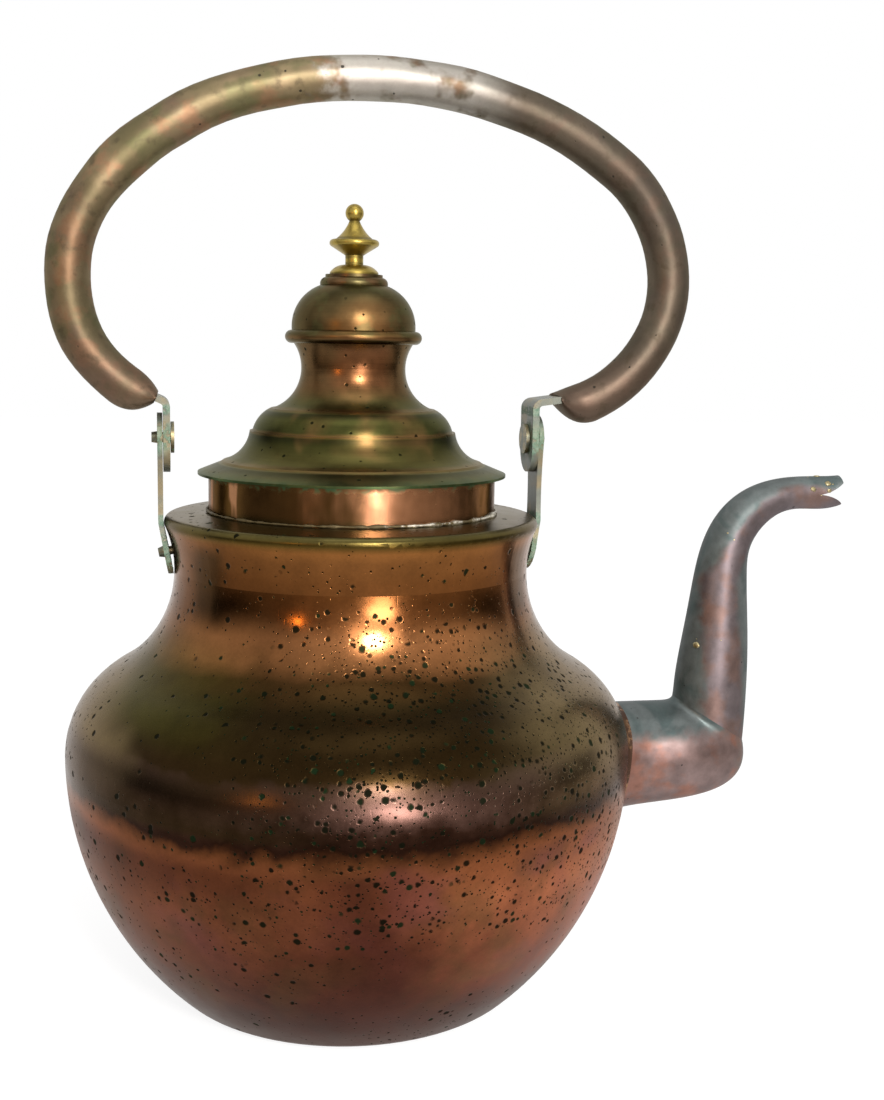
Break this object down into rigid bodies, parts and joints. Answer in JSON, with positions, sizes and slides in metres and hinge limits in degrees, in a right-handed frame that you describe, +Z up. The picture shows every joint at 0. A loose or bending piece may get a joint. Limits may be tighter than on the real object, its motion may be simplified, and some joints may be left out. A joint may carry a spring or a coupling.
{
  "type": "coffee pot",
  "caption": "Copper coffee pot with a bulbous body, soldered swan-neck spout with an open beak, stepped lift-off lid with a turned finial, and a hollow swing bail on riveted straps.",
  "frame": {"origin": "centre of the flat base, on the table", "axes": "+Z up along the pot's axis, +X along the spout, Y along the width; the bail's pivots lie on a line along X"},
  "size_m": [0.3454, 0.2384, 0.3891],
  "materials": {
    "body_copper": "polished copper, darkened and pitted with age",
    "collar_copper": "bright polished copper",
    "tin_solder": "dull tin solder",
    "spout_copper": "polished copper with grey-green tarnish",
    "spout_braze": "dark brazing metal",
    "strap_copper": "dull copper with verdigris",
    "rivet_copper": "hammered copper",
    "bail_copper": "satin copper, brown patina",
    "tang_copper": "dull copper with verdigris",
    "lid_copper": "spun copper, dark patina",
    "finial_brass": "turned brass, satin"
  },
  "bodies": {
    "pot": {"body_shell": "body_copper", "mouth_collar": "collar_copper", "collar_solder": "tin_solder", "spout_elbow": "spout_copper", "spout_neck": "spout_copper", "spout_solder": "spout_braze", "strap_left": "strap_copper", "strap_right": "strap_copper", "strap_rivets": "rivet_copper", "strap_roves": "rivet_copper", "pivot_rivet_left": "rivet_copper", "pivot_rivet_right": "rivet_copper"},
    "bail": {"bail_tube": "bail_copper", "bail_tang_left": "tang_copper", "bail_tang_right": "tang_copper"},
    "lid": {"lid_cover": "lid_copper", "lid_dome": "lid_copper", "lid_flange": "lid_copper", "finial": "finial_brass", "finial_rove": "rivet_copper"}
  },
  "joints": [
    {"name": "bail_swing", "type": "hinge", "parent": "pot", "child": "bail", "pos_m": [0, 0, 0.2342], "axis": [1, 0, 0], "range_deg": [-110, 110]},
    {"name": "lid_lift", "type": "slide", "parent": "pot", "child": "lid", "axis": [0, 0, 1], "range_m": [0, 0.032]}
  ]
}
